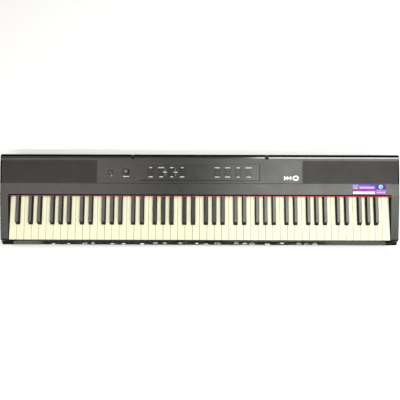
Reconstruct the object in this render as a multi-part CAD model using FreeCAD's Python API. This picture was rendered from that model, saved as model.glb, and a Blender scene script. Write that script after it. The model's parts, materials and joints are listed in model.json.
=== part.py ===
import FreeCAD, Part
import math
import os

# An 88-key slab digital piano. Millimetres.
# X runs to the player's right, Y towards the back, Z up.
# The origin is on the resting surface, under the middle of the case.

V = FreeCAD.Vector

# ---- Driving dimensions -------------------------------------------------

# Case
foot_height = 4.0
split_z = 30.0              # parting line between the two case halves
cheek_width = 25.8          # end block beside the keys, from the key opening outwards
case_wall = 2.8
floor_thickness = 3.0
panel_wall = 3.2            # thickness of the sloping top panel
lip_thickness = 4.0         # front edge of the panel, above the keys
panel_rise = 8.0            # from the lip up to the rear edge
rear_roll_radius = 8.0      # rounding along the rear top edge
end_edge_radius = 2.5       # rounding along the top edge of each end
rear_corner_radius = 5.0
panel_depth = 131.0         # from the lip back to the rear face
seam_step = 0.6             # the lower case stands this far inside the upper one
cheek_rise = 1.0            # the cheeks' front stands this far above the white keys
cheek_nose_radius = 9.0

# Keys
white_count = 52
first_note = 5              # the lowest white key is an A, five steps above C
key_pitch = 23.5
key_gap = 1.0
key_end_gap = 1.2           # between the outermost keys and the cheeks
white_top_z = 62.0
key_body_height = 20.0      # from a white key's top down to its lower edge
white_visible = 142.0       # from the lip forward to the front of the keys
white_lip = 1.2             # overhang of the key top over its front wall
white_lip_thickness = 3.0
black_rise = 12.0
black_headroom = 2.0        # between the black keys and the lip
black_visible = 93.0
black_base_width = 12.0
black_top_width = 9.8
black_front_slope = 7.5
notch_gap = 1.0             # between a black key and the white ones round it
key_wall = 1.6
key_top_thickness = 2.2
key_tail_behind_lip = 65.0
cap_behind_lip = 3.0        # how far a black cap runs back under the lip
lug_width = 7.0
lug_length = 14.0
lug_height = 12.0
key_dip = 10.0              # travel at the front of a white key
white_edge_radius = 0.6
black_edge_radius = 1.3

# Pivot rod
rod_diameter = 4.0
running_clearance = 0.05
tower_clearance = 0.05

# Key bed
bed_drop = 12.0             # from the keys' lower edges down to the bed
tower_reach = 6.0           # of a rod support, before and behind the rod
bed_thickness = 3.0
bed_rib_thickness = 3.0
bed_front_gap = 3.5
tower_thickness = 2.6
board_thickness = 1.6
contact_board_width = 26.0
dome_diameter = 8.0
dome_height = 3.4
strip_width = 16.0
strip_thickness = 1.4
felt_width = 14.0
stop_felt_top_gap = 0.6
spring_thickness = 0.4
spring_width = 4.0
spring_length = 22.0
spring_gap = 1.6

# Front rail and corner caps
rail_gap = 4.0              # between the front of the keys and the rail
rail_depth = 12.0
rail_top_z = 52.0
rail_wall = 3.0
rail_nose_radius = 4.0
corner_cap_width = 38.0
corner_radius = 7.0
trim_gap = 0.3

# Speakers and grilles
grille_length = 305.5
grille_width = 73.5
grille_end_margin = 4.5     # from a grille's outer end to the end of the case
grille_thickness = 1.4
grille_sink = 0.5
grille_start = 37.5         # from the lip, along the slope
grille_slot_width = 1.6
grille_slot_pitch = 4.0
grille_columns = 6
grille_bar = 4.0
driver_length = 116.0
driver_width = 62.0
driver_rim = 8.0
driver_depth = 9.0
magnet_diameter = 36.0
magnet_thickness = 5.0
cone_thickness = 0.6

# Control panel
control_length = 383.0
control_width = 52.5
control_start = 47.0
control_thickness = 1.4
control_sink = 0.4
control_corner = 4.0
seat_gap = 0.3
panel_groove = 0.8          # shadow gap round the control panel and the grilles
button_length = 20.0
button_width = 6.6
button_height = 1.4         # above the control panel
button_depth = 4.4          # below the control panel's face
button_gap = 0.3
button_travel = 1.0
button_pitch = 33.6
button_inner_x = 55.8
button_columns = 4
button_row_rear = 79.5      # rows, from the lip along the slope
button_row_front = 65.5
panel_board_drop = 8.6      # from the panel's face down to the circuit board
switch_size = 6.0
power_x = -284.5
power_y = 71.8
power_size = 13.0
power_height = 2.0
power_travel = 1.5
knob_x = -236.0
knob_y = 74.4
knob_diameter = 20.0
knob_height = 11.0
knob_lift = 0.6
shaft_diameter = 6.0
pot_size = 16.0
pot_depth = 7.0
groove_start = 35.2
groove_width = 0.9
groove_depth = 0.6

# Music rest sockets
rest_to_bay = 26.5          # beyond each end of the battery bay
rest_setback = 12.0         # from the rear face
rest_bore = 8.5
rest_depth = 12.0
rest_ferrule = 12.5
rest_floor = 2.0
rest_sink = 0.5

# Rear sockets
socket_z = 48.0
plug_bore = 6.5
plug_depth = 26.0
bushing_diameter = 10.5
bushing_length = 4.0
socket_body = 15.0
socket_sink = 0.5
phones_offset = -50.0       # sockets, along the board from its middle
pedal_offset = -10.0
usb_offset = 22.0
dc_offset = 50.0
dc_bore = 5.6
dc_depth = 9.5
dc_pin = 2.0
usb_width = 8.6
usb_height = 7.9
usb_depth = 13.0
usb_shell = 1.0
usb_plate_width = 24.0
usb_plate_gap = 0.1
main_board_length = 190.0
main_board_width = 34.0
main_board_to_bay = 162.5   # from the end of the battery bay to the board's middle
chip_length = 12.0

# Battery bay
cell_diameter = 34.2
cell_length = 61.5
cell_count = 6
bay_clearance = 1.2
bay_wall = 2.0
door_thickness = 2.4
door_overlap = 4.0
door_gap = 0.3
contact_thickness = 0.5

# Fasteners and feet
screw_shaft = 3.0
screw_head = 6.6
screw_head_height = 2.2
screw_engagement = 12.0
screw_sink = 7.0
screw_to_bay = 48.5         # beyond each end of the battery bay
screw_to_board = 15.0       # beyond the end of the main board
screw_end_inset = 34.0      # from each end of the case
screw_left_inset = 200.0
boss_diameter = 8.4
foot_diameter = 22.0
foot_inset_x = 70.0
foot_inset_y = 26.0
felt_thickness = 2.0
felt_height = 3.2
badge_x = 293.0
badge_y = 55.4
badge_thickness = 0.5
badge_bar_heights = (13.0, 8.0, 11.0, 6.0, 12.0)
badge_bar_pitch = 5.0
badge_oval_length = 20.0
badge_oval_width = 16.5
sticker_end_gap = 42.5      # from the end of the case
sticker_length = 109.0
sticker_width = 32.5
sticker_start = 4.0
sticker_thickness = 0.2

# ---- Places worked out from them ---------------------------------------

keybed_length = white_count * key_pitch
opening_half = keybed_length / 2 + key_end_gap
half_length = opening_half + cheek_width
case_depth = panel_depth + white_visible + rail_gap + rail_depth
black_top_z = white_top_z + black_rise
lip_underside_z = black_top_z + black_headroom
lip_z = lip_underside_z + lip_thickness
case_height = lip_z + panel_rise
cheek_front_z = white_top_z + cheek_rise
key_skirt_z = white_top_z - key_body_height
bed_top_z = key_skirt_z - bed_drop
front_y = -case_depth / 2
rear_y = case_depth / 2
lip_y = rear_y - panel_depth
keys_front_y = lip_y - white_visible
keys_left_x = -keybed_length / 2
black_front_y = lip_y - black_visible
contact_y = lip_y - 8.0      # line along which the keys press their contacts
key_tail_y = lip_y + key_tail_behind_lip
pivot_y = key_tail_y + lug_length / 2 + 1.0
pivot_z = key_skirt_z + lug_height / 2
cheek_front_y = front_y + rail_depth
floor_top_z = foot_height + floor_thickness
rear_flat_y = rear_y - rear_roll_radius
rear_panel_top_z = case_height - rear_roll_radius - 2.0
rest_y = rear_y - rest_setback
slope = math.atan2(case_height - lip_z, rear_flat_y - lip_y)
grille_inner_x = half_length - grille_end_margin - grille_length
sticker_x = half_length - sticker_end_gap - sticker_length / 2
bay_y1 = rear_y - case_wall - 0.2
bay_y0 = bay_y1 - cell_diameter - bay_clearance
bay_half = (cell_count * cell_length) / 2 + 3.0
rest_x = bay_half + rest_to_bay
main_board_x = bay_half + main_board_to_bay
phones_x = main_board_x + phones_offset
pedal_x = main_board_x + pedal_offset
usb_x = main_board_x + usb_offset
dc_x = main_board_x + dc_offset
door_z1 = foot_height + door_thickness
main_board_z = socket_z - socket_body / 2 - board_thickness
bay_top_z = door_z1 + cell_diameter + bay_clearance
press_angle = math.asin(key_dip / (pivot_y - keys_front_y))

white_names = ("c", "d", "e", "f", "g", "a", "b")
single_octave = 4           # this octave's keys are nodes of their own


# ---- Helpers ------------------------------------------------------------

def box(x0, x1, y0, y1, z0, z1):
    return Part.makeBox(x1 - x0, y1 - y0, z1 - z0, V(x0, y0, z0))


def cylinder(diameter, length, base, axis=V(0, 0, 1)):
    return Part.makeCylinder(diameter / 2, length, base, axis)


def rounded_block(x0, x1, y0, y1, z0, z1, radius):
    """A block whose upright edges are rounded."""
    block = box(x0, x1, y0, y1, z0, z1)
    upright = [e for e in block.Edges if abs(e.tangentAt(e.FirstParameter).z) > 0.99]
    return block.makeFillet(radius, upright)


def along_x(points, x0, x1):
    """Extrude a closed outline of (y, z) points from x0 to x1."""
    outline = Part.makePolygon([V(x0, y, z) for y, z in points + points[:1]])
    return Part.Face(outline).extrude(V(x1 - x0, 0, 0))


def joined(shapes):
    shape = shapes[0]
    if len(shapes) > 1:
        shape = shape.fuse(shapes[1:])
    return shape.removeSplitter()


def mirrored(shape):
    return shape.mirror(V(0, 0, 0), V(1, 0, 0))


def on_panel(shape):
    """Move a shape from the panel's own frame, whose origin is on the lip, into place."""
    placed = shape.copy()
    placed.rotate(V(0, 0, 0), V(1, 0, 0), math.degrees(slope))
    placed.translate(V(0, lip_y, lip_z))
    return placed


def ellipse_wire(length, width, x, y, z):
    curve = Part.Ellipse(V(x, y, z), length / 2, width / 2)
    return Part.Wire(curve.toShape())


def write(name, solids):
    """Write one node; several separate solids become one compound."""
    shape = solids[0] if len(solids) == 1 else Part.makeCompound(solids)
    shape.exportStep("parts/" + name + ".step")


def single_solids(shape):
    return list(shape.Solids)


# ---- Keys ---------------------------------------------------------------

def white_note(index):
    """Steps above C, 0 to 6, of a white key counted from the left."""
    return (index + first_note) % 7


def octave_number(index):
    return (index + first_note) // 7


def white_left(index):
    return keys_left_x + index * key_pitch


def black_centre(index):
    """Middle of the black key between white keys index and index + 1, or None."""
    step = white_note(index)
    if index < 0 or index >= white_count - 1 or step in (2, 6):
        return None
    c_left = white_left(index - step)
    if step < 2:
        tail = 3 * key_pitch / 5
        return c_left + (1.5 + 2 * step) * tail
    tail = 4 * key_pitch / 7
    return c_left + 3 * key_pitch + (1.5 + 2 * (step - 3)) * tail


def tail_limits(index):
    """Left and right faces of the narrow rear part of a white key."""
    left = white_left(index) + key_gap / 2
    right = white_left(index) + key_pitch - key_gap / 2
    black_on_left = black_centre(index - 1) if index > 0 else None
    black_on_right = black_centre(index)
    reach = black_base_width / 2 + notch_gap
    if black_on_left is not None:
        left = black_on_left + reach
    if black_on_right is not None:
        right = black_on_right - reach
    return left, right


def pivot_lug(centre):
    """The lug at the rear of a key, with its running bore for the rod."""
    half = lug_width / 2
    lug = box(centre - half, centre + half, key_tail_y - key_wall, pivot_y + lug_length / 2,
              key_skirt_z, key_skirt_z + lug_height)
    bore = cylinder(rod_diameter + 2 * running_clearance, lug_width + 2,
                    V(centre - half - 1, pivot_y, pivot_z), V(1, 0, 0))
    return lug, bore


def white_key(index):
    left = white_left(index) + key_gap / 2
    right = left + key_pitch - key_gap
    tail_left, tail_right = tail_limits(index)
    shoulder_y = black_front_y - notch_gap
    head = box(left, right, keys_front_y + white_lip, shoulder_y, key_skirt_z, white_top_z)
    head_lip = box(left, right, keys_front_y, shoulder_y, white_top_z - white_lip_thickness, white_top_z)
    tail = box(tail_left, tail_right, shoulder_y - 1, key_tail_y, key_skirt_z, white_top_z)
    outer = joined([head, head_lip, tail])
    edges = [e for e in outer.Edges if on_rounded_top(e)]
    outer = outer.makeFillet(white_edge_radius, edges)
    roof = white_top_z - key_top_thickness
    head_room = box(left + key_wall, right - key_wall, keys_front_y + white_lip + key_wall,
                    shoulder_y - key_wall, key_skirt_z - 1, roof)
    tail_room = box(tail_left + key_wall, tail_right - key_wall, shoulder_y - key_wall - 1,
                    key_tail_y - key_wall, key_skirt_z - 1, roof)
    lug, bore = pivot_lug((tail_left + tail_right) / 2)
    return outer.cut([head_room, tail_room]).fuse(lug).cut(bore)


def on_rounded_top(edge):
    """True on the top edges of a white key that the player can touch."""
    box_of_edge = edge.BoundBox
    flat_top = box_of_edge.ZMin > white_top_z - 0.01
    return flat_top and box_of_edge.YMin < lip_y + 1


def black_key(centre):
    half = black_base_width / 2
    top_half = black_top_width / 2
    cap_rear = lip_y + cap_behind_lip
    base_z = white_top_z - 0.5
    base = [V(centre - half, black_front_y, base_z), V(centre + half, black_front_y, base_z),
            V(centre + half, cap_rear, base_z), V(centre - half, cap_rear, base_z)]
    top_front = black_front_y + black_front_slope
    top = [V(centre - top_half, top_front, black_top_z), V(centre + top_half, top_front, black_top_z),
           V(centre + top_half, cap_rear, black_top_z), V(centre - top_half, cap_rear, black_top_z)]
    wires = [Part.makePolygon(points + points[:1]) for points in (base, top)]
    cap = Part.makeLoft(wires, True, True)
    rounded = [e for e in cap.Edges if e.BoundBox.YMin < cap_rear - 1 and e.BoundBox.ZMax > base_z + 1]
    cap = cap.makeFillet(black_edge_radius, rounded)
    body = box(centre - half, centre + half, black_front_y, key_tail_y, key_skirt_z, base_z)
    outer = joined([body, cap])
    room = box(centre - half + key_wall, centre + half - key_wall, black_front_y + key_wall,
               key_tail_y - key_wall, key_skirt_z - 1, base_z - key_top_thickness)
    lug, bore = pivot_lug(centre)
    return outer.cut(room).fuse(lug).cut(bore)


def key_nodes():
    """Every key, in its node: one node per key of the single octave, else one per note name."""
    nodes = {}
    for index in range(white_count):
        step = white_note(index)
        number = octave_number(index)
        entries = [(white_names[step], white_key(index))]
        centre = black_centre(index)
        if centre is not None:
            entries.append((white_names[step] + "_sharp", black_key(centre)))
        for name, solid in entries:
            node = "key_" + name + "4" if number == single_octave else "keys_" + name
            nodes.setdefault(node, []).append(solid.Solids[0])
    return nodes


# ---- Key bed ------------------------------------------------------------

def lug_centres():
    centres = []
    for index in range(white_count):
        left, right = tail_limits(index)
        centres.append((left + right) / 2)
        black = black_centre(index)
        if black is not None:
            centres.append(black)
    return centres


def tower_places():
    """Middles of the rod supports: both ends, and one between every B and C."""
    centres = lug_centres()
    places = [centres[0] - lug_width / 2 - tower_thickness / 2 - 0.8,
              centres[-1] + lug_width / 2 + tower_thickness / 2 + 0.8]
    for index in range(white_count - 1):
        if white_note(index) == 6:
            places.append(white_left(index + 1))
    return places


def key_chassis():
    bed_front = keys_front_y + bed_front_gap
    bed_rear = pivot_y + lug_length / 2
    half = keybed_length / 2 - 1.0
    parts = [box(-half, half, bed_front, bed_rear, bed_top_z - bed_thickness, bed_top_z)]
    under = bed_top_z - bed_thickness
    for y in (bed_front, (bed_front + bed_rear) / 2, bed_rear - bed_rib_thickness):
        parts.append(box(-half, half, y, y + bed_rib_thickness, floor_top_z, under))
    for x in tower_places():
        half_tower = tower_thickness / 2
        parts.append(box(x - half_tower, x + half_tower, pivot_y - tower_reach, pivot_y + tower_reach,
                         bed_top_z, pivot_z + rod_diameter / 2 + 3.0))
        parts.append(box(x - half_tower, x + half_tower, bed_front, bed_rear, floor_top_z, under))
    bore = cylinder(rod_diameter + 2 * tower_clearance, 2 * half, V(-half, pivot_y, pivot_z), V(1, 0, 0))
    return joined(parts).cut(bore)


def key_pivot_rod():
    places = tower_places()
    left = min(places) - tower_thickness
    right = max(places) + tower_thickness
    return cylinder(rod_diameter, right - left, V(left, pivot_y, pivot_z), V(1, 0, 0))


def board_spans():
    """The contact boards lie end to end in three lengths."""
    length = keybed_length / 3
    return [(keys_left_x + n * length + 1.5, keys_left_x + (n + 1) * length - 1.5) for n in range(3)]


def contact_boards():
    half = contact_board_width / 2
    return [box(x0, x1, contact_y - half, contact_y + half, bed_top_z, bed_top_z + board_thickness)
            for x0, x1 in board_spans()]


def rubber_contact_strips():
    base_z = bed_top_z + board_thickness
    half = strip_width / 2
    strips = []
    for x0, x1 in board_spans():
        pad = box(x0 + 1, x1 - 1, contact_y - half, contact_y + half, base_z, base_z + strip_thickness)
        domes = [cylinder(dome_diameter, dome_height, V(x, contact_y, base_z + strip_thickness - 0.1))
                 for x in lug_centres() if x0 + dome_diameter < x < x1 - dome_diameter]
        strips.append(pad.fuse(domes))
    return [strip.Solids[0] for strip in strips]


def key_stop_felts():
    """Felt that the pressed keys land on, under the fronts of the black and white keys."""
    half = keybed_length / 2 - 2.0
    strips = []
    for y in (keys_front_y + felt_width, black_front_y + felt_width):
        pressed = key_skirt_z - (pivot_y - y) * math.tan(press_angle)
        strips.append(box(-half, half, y - felt_width / 2, y + felt_width / 2,
                          bed_top_z, pressed - stop_felt_top_gap))
    return strips


def key_springs():
    """One leaf spring per key, standing on the bed just clear of the key's travel."""
    springs = []
    rear = pivot_y - 9.0
    tip = rear - spring_length
    tip_z = key_skirt_z - (pivot_y - tip) * math.tan(press_angle) - spring_gap
    t = spring_thickness
    foot = 5.0
    outline = [(rear, bed_top_z), (rear, bed_top_z + t), (rear - foot, bed_top_z + t),
               (tip, tip_z), (tip, tip_z - t), (rear - foot, bed_top_z)]
    for x in lug_centres():
        springs.append(along_x(outline, x - spring_width / 2, x + spring_width / 2))
    return springs


# ---- Case ---------------------------------------------------------------

def case_outline(inset, bottom):
    """Side outline of the top case, moved inwards by inset."""
    edges = []
    top_drop = inset if inset == 0 else panel_wall
    rear = rear_y - inset
    front = cheek_front_y + inset
    high = case_height - top_drop
    radius = rear_roll_radius - inset
    nose = cheek_nose_radius - inset
    flat = rear - radius
    corner = radius * (1 - math.sqrt(0.5))
    lip_high = lip_z - top_drop
    nose_top = cheek_front_z - inset
    nose_corner = nose * (1 - math.sqrt(0.5))
    points = [V(0, rear, bottom), V(0, rear, high - radius), V(0, flat, high),
              V(0, lip_y, lip_high), V(0, front + nose, nose_top), V(0, front, nose_top - nose),
              V(0, front, bottom)]
    rear_mid = V(0, rear - corner, high - corner)
    front_mid = V(0, front + nose_corner, nose_top - nose_corner)
    edges.append(Part.makeLine(points[0], points[1]))
    edges.append(Part.Arc(points[1], rear_mid, points[2]).toShape())
    edges.append(Part.makeLine(points[2], points[3]))
    edges.append(Part.makeLine(points[3], points[4]))
    edges.append(Part.Arc(points[4], front_mid, points[5]).toShape())
    edges.append(Part.makeLine(points[5], points[6]))
    edges.append(Part.makeLine(points[6], points[0]))
    return Part.Face(Part.Wire(edges))


def case_block(inset, bottom):
    half = half_length - inset
    face = case_outline(inset, bottom)
    face.translate(V(-half, 0, 0))
    return face.extrude(V(2 * half, 0, 0))


def screw_places():
    """(x, y) of the case screws: a row along the back and two in each cheek."""
    rear_row = rear_y - 12.0
    cheek_x = (opening_half + half_length) / 2 + 0.3
    near_bay = bay_half + screw_to_bay
    past_board = main_board_x + main_board_length / 2 + screw_to_board
    end = half_length - screw_end_inset
    rear_x = (-end, screw_left_inset - half_length, -near_bay, near_bay, past_board, end)
    places = [(x, rear_row) for x in rear_x]
    for x in (-cheek_x, cheek_x):
        places += [(x, keys_front_y + 26), (x, lip_y - 40)]
    return places


def panel_cuts():
    """Pockets, windows and holes through the sloping panel, in the panel's frame."""
    cuts = []
    depth = panel_wall + 2
    for side in (-1, 1):
        x0, x1 = sorted((side * grille_inner_x, side * (grille_inner_x + grille_length)))
        cuts.append(box(x0, x1, grille_start, grille_start + grille_width,
                        -(grille_thickness + grille_sink), 3))
        window = Part.Face(ellipse_wire(driver_length - 2 * driver_rim, driver_width - 2 * driver_rim,
                                        driver_x(side), driver_v(), -depth))
        cuts.append(window.extrude(V(0, 0, depth + 3)))
    half = control_length / 2
    cuts.append(rounded_block(-half, half, control_start, control_start + control_width,
                              -(control_thickness + control_sink), 3, control_corner))
    for row in (button_row_rear, button_row_front):
        for side in (-1, 1):
            x0, x1 = button_row_span(side)
            cuts.append(box(x0 - 2, x1 + 2, row - button_width / 2 - 2, row + button_width / 2 + 2,
                            -depth, 0))
    cuts.append(cylinder(shaft_diameter + 2.0, depth + 3, V(knob_x, knob_y, -depth)))
    reach = power_size / 2 + button_gap
    cuts.append(rounded_block(power_x - reach, power_x + reach, power_y - reach, power_y + reach,
                              -depth, 3, 2.0 + button_gap))
    cuts.append(box(-grille_inner_x, grille_inner_x, groove_start - groove_width / 2,
                    groove_start + groove_width / 2, -groove_depth, 1))
    return [on_panel(cut) for cut in cuts]


def socket_cuts():
    """Holes in the rear panel for the sockets."""
    cuts = []
    y0 = rear_y - case_wall - 2
    for x in (phones_x, pedal_x, dc_x):
        cuts.append(cylinder(bushing_diameter + 2 * seat_gap, 8, V(x, y0, socket_z), V(0, 1, 0)))
    half_w = usb_width / 2 + usb_shell + seat_gap
    half_h = usb_height / 2 + usb_shell + seat_gap
    cuts.append(box(usb_x - half_w, usb_x + half_w, y0, rear_y + 2, socket_z - half_h, socket_z + half_h))
    return cuts


def ferrule_cuts():
    """Seats of the music rest ferrules."""
    return [cylinder(rest_ferrule + 2 * running_clearance, 30, V(x, rest_y, case_height - 20))
            for x in (-rest_x, rest_x)]


def case_cavity():
    """The hollow of the upper shell, with the walls round the key opening left standing."""
    inner_wall = opening_half + case_wall
    keep = box(-inner_wall, inner_wall, front_y - 1, lip_y + case_wall, 0, case_height + 5)
    return case_block(case_wall, split_z - 1).cut(keep)


def upper_shell():
    """The whole upper shell, before it is divided into its mouldings."""
    outer = case_block(0, split_z)
    ends = [e for e in outer.Edges
            if abs(abs(e.BoundBox.XMin) - half_length) < 0.01
            and e.BoundBox.XLength < 0.01 and e.BoundBox.ZMax > split_z + 0.1]
    outer = outer.makeFillet(end_edge_radius, ends)
    opening = box(-opening_half, opening_half, front_y - 1, lip_y, 0, case_height + 5)
    passage = box(-opening_half, opening_half, front_y - 1, lip_y + case_wall + 1, 0, lip_underside_z)
    return outer.cut([case_cavity(), opening, passage])


def cheek_zone():
    """Everything in front of the lip."""
    reach = half_length + 1
    return box(-reach, reach, front_y - 5, lip_y, 0, case_height + 5)


def rear_panel_zone():
    reach = half_length - case_wall
    return box(-reach, reach, rear_y - case_wall, rear_y + 1, split_z - 1, rear_panel_top_z)


def top_case():
    """The sloping panel with the rear roll and the two ends behind the keys."""
    case = upper_shell().cut([cheek_zone(), rear_panel_zone()])
    return case.cut(panel_cuts() + ferrule_cuts()).removeSplitter()


def end_cheeks():
    """The two blocks beside the keys."""
    return upper_shell().common(cheek_zone())


def usb_plate_gaps():
    """Joints at the two ends of the narrow plate that frames the USB socket."""
    y0 = rear_y - case_wall - 1
    half = usb_plate_gap / 2
    return [box(x - half, x + half, y0, rear_y + 2, split_z - 2, rear_panel_top_z + 1)
            for x in (usb_x - usb_plate_width / 2, usb_x + usb_plate_width / 2)]


def rear_panel():
    """The upright plates that carry the sockets: two long ones, and a narrow one for USB between them."""
    return upper_shell().common(rear_panel_zone()).cut(socket_cuts() + usb_plate_gaps())


def screw_posts():
    """Posts under the panel that the case screws bite into."""
    cavity = case_cavity()
    posts = []
    for x, y in screw_places():
        post = cylinder(boss_diameter, case_height - split_z, V(x, y, split_z)).common(cavity)
        hole = cylinder(screw_shaft + 2 * running_clearance, screw_engagement + 1, V(x, y, split_z - 1))
        posts.append(post.cut(hole).Solids[0])
    return posts


def battery_bay_walls():
    outer = box(-bay_half - bay_wall, bay_half + bay_wall, bay_y0 - bay_wall, rear_y - case_wall,
                floor_top_z - 1, bay_top_z + bay_wall)
    inner = box(-bay_half, bay_half, bay_y0, bay_y1, 0, bay_top_z)
    return outer, inner


def door_limits():
    half = bay_half + door_overlap
    return -half, half, bay_y0 - door_overlap, rear_y - seam_step


def bottom_case():
    """The lower tray, with the battery bay, screw bosses and the ledge for the front rail."""
    reach = half_length - seam_step
    outer = rounded_block(-reach, reach, cheek_front_y, rear_y - seam_step, foot_height, split_z,
                          rear_corner_radius)
    room = box(-half_length + case_wall, half_length - case_wall, cheek_front_y + case_wall,
               rear_y - case_wall, floor_top_z, split_z + 1)
    tray = outer.cut(room)
    bay_outer, bay_inner = battery_bay_walls()
    x0, x1, y0, y1 = door_limits()
    doorway = box(x0 - door_gap, x1 + door_gap, y0 - door_gap, y1 + 1, 0, door_z1)
    additions = [bay_outer]
    cuts = [bay_inner, doorway]
    for x, y in screw_places():
        additions.append(cylinder(boss_diameter, split_z - foot_height, V(x, y, foot_height)))
        cuts.append(cylinder(screw_shaft + 1.0, split_z, V(x, y, foot_height)))
        cuts.append(cylinder(screw_head + 0.8, screw_sink, V(x, y, foot_height)))
    return tray.fuse(additions).cut(cuts).removeSplitter()


def battery_door():
    x0, x1, y0, y1 = door_limits()
    plate = box(x0, x1, y0, y1, foot_height, door_z1 - door_gap)
    grips = [box(-14, 14, y, y + 1.2, foot_height - 1, foot_height + 0.6)
             for y in [y0 + 9 + 3 * n for n in range(5)]]
    return plate.cut(grips)


def battery_contacts():
    """Sprung tin plates at both ends of the bay."""
    t = contact_thickness
    half = cell_diameter / 2 - 4
    middle_y = (bay_y0 + bay_y1) / 2
    middle_z = (door_z1 + bay_top_z) / 2
    plate = box(bay_half - t, bay_half, middle_y - half, middle_y + half, middle_z - half, middle_z + half)
    return [plate, mirrored(plate)]


def front_rail():
    """The bar across the front of the keys, a C section open to the rear."""
    half = half_length - corner_cap_width - trim_gap
    y0 = front_y
    y1 = cheek_front_y - trim_gap
    r = rail_nose_radius
    low = foot_height + 2.0
    outer = box(-half, half, y0, y1, low, rail_top_z)
    front_edges = [e for e in outer.Edges if e.BoundBox.YMax < y0 + 0.01 and e.BoundBox.ZLength < 0.01]
    outer = outer.makeFillet(r, front_edges)
    room = box(-half - 1, half + 1, y0 + rail_wall, y1 + 1, low + rail_wall, rail_top_z - rail_wall)
    ribs = [box(x - 1.5, x + 1.5, y0 + 1, y1, low + 1, rail_top_z - 1)
            for x in [-half + 1.5 + n * (2 * half - 3) / 12 for n in range(13)]]
    return outer.cut(room).fuse([rib.common(outer) for rib in ribs]).removeSplitter()


def front_corner_cap():
    """Moulded corner at the foot of the right cheek."""
    x0 = half_length - corner_cap_width
    y1 = cheek_front_y - trim_gap
    low = foot_height + 2.0
    cap = box(x0, half_length, front_y, y1, low, rail_top_z)
    corner = [e for e in cap.Edges
              if e.BoundBox.ZLength > 1 and e.BoundBox.XMin > half_length - 0.01
              and e.BoundBox.YMax < front_y + 0.01]
    cap = cap.makeFillet(corner_radius, corner)
    front = [e for e in cap.Edges if e.BoundBox.ZMin > rail_top_z - 0.01 and e.BoundBox.YMax < y1 - 0.01]
    cap = cap.makeFillet(rail_nose_radius - 1.0, front)
    room = box(x0 + rail_wall, half_length - corner_radius, front_y + rail_wall, y1 + 1,
               low + rail_wall, rail_top_z - rail_wall - 1)
    return cap.cut(room)


def red_felt_strip():
    half = opening_half - 1.0
    low = lip_underside_z - 0.6
    return box(-half, half, lip_y - felt_thickness, lip_y, low, low + felt_height)


# ---- Speakers -----------------------------------------------------------

def driver_x(side):
    return side * (grille_inner_x + grille_length / 2)


def driver_v():
    return grille_start + grille_width / 2


def grille():
    """Slotted plate of the right speaker, in its pocket."""
    x0 = grille_inner_x + panel_groove
    x1 = grille_inner_x + grille_length - panel_groove
    v0 = grille_start + panel_groove
    v1 = grille_start + grille_width - panel_groove
    plate = box(x0, x1, v0, v1, -(grille_thickness + grille_sink), -grille_sink)
    rows = int((v1 - v0 - 2 * grille_bar) / grille_slot_pitch)
    slot_length = (x1 - x0 - grille_bar) / grille_columns - grille_bar
    first = (v0 + v1) / 2 - (rows - 1) * grille_slot_pitch / 2
    half_slot = grille_slot_width / 2
    slots = []
    for row in range(rows):
        v = first + row * grille_slot_pitch
        for column in range(grille_columns):
            x = x0 + grille_bar + column * (slot_length + grille_bar)
            slots.append(box(x, x + slot_length, v - half_slot, v + half_slot, -5, 1))
    return on_panel(plate.cut(Part.makeCompound(slots)))


def speaker_basket():
    """Oval steel basket and its magnet, hung under the panel."""
    x = driver_x(1)
    v = driver_v()
    top = -panel_wall
    rim = Part.Face(ellipse_wire(driver_length, driver_width, x, v, top - 1.2)).extrude(V(0, 0, 1.2))
    low = top - 1.2 - driver_depth
    bowl = Part.makeLoft([ellipse_wire(driver_length - 8, driver_width - 8, x, v, top - 1.2),
                          ellipse_wire(magnet_diameter + 6.01, magnet_diameter + 6, x, v, low)], True, True)
    inside = Part.makeLoft([ellipse_wire(driver_length - 10.4, driver_width - 10.4, x, v, top + 0.01),
                            ellipse_wire(magnet_diameter + 3.61, magnet_diameter + 3.6, x, v, low + 1.2)],
                           True, True)
    magnet = cylinder(magnet_diameter, magnet_thickness + 0.5, V(x, v, low - magnet_thickness))
    return on_panel(rim.fuse([bowl, magnet]).cut(inside))


def speaker_cone():
    """Paper cone with its dust cap."""
    x = driver_x(1)
    v = driver_v()
    top = -panel_wall - 0.6
    low = top - driver_depth + 2.0
    mouth_length = driver_length - 2 * driver_rim
    mouth_width = driver_width - 2 * driver_rim
    neck = 22.0
    t = cone_thickness
    outer = Part.makeLoft([ellipse_wire(mouth_length, mouth_width, x, v, top),
                           ellipse_wire(neck + 0.01, neck, x, v, low)], True, True)
    inner = Part.makeLoft([ellipse_wire(mouth_length - 2 * t, mouth_width - 2 * t, x, v, top + t),
                           ellipse_wire(neck + 0.01 - 2 * t, neck - 2 * t, x, v, low + t)], True, True)
    dust_cap = cylinder(neck - 4, 2.4, V(x, v, low + t / 2))
    return on_panel(outer.cut(inner).fuse(dust_cap))


# ---- Controls -----------------------------------------------------------

def button_centres(side):
    return [side * (button_inner_x + n * button_pitch) for n in range(button_columns)]


def button_row_span(side):
    """Left and right faces of one cluster's row of buttons."""
    centres = button_centres(side)
    return min(centres) - button_length / 2, max(centres) + button_length / 2


def control_panel():
    """Thin facing plate that the sixteen buttons pass through."""
    half = control_length / 2 - panel_groove
    top = -control_sink
    plate = rounded_block(-half, half, control_start + panel_groove,
                          control_start + control_width - panel_groove,
                          top - control_thickness, top, control_corner - panel_groove)
    slots = []
    for row in (button_row_rear, button_row_front):
        for side in (-1, 1):
            for x in button_centres(side):
                slots.append(button_block(x, row, button_gap, -5, 5))
    return on_panel(plate.cut(slots))


def button_block(x, row, gap, low, high):
    half_length_x = button_length / 2 + gap
    half_width = button_width / 2 + gap
    return rounded_block(x - half_length_x, x + half_length_x, row - half_width, row + half_width,
                         low, high, 1.6 + gap)


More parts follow.
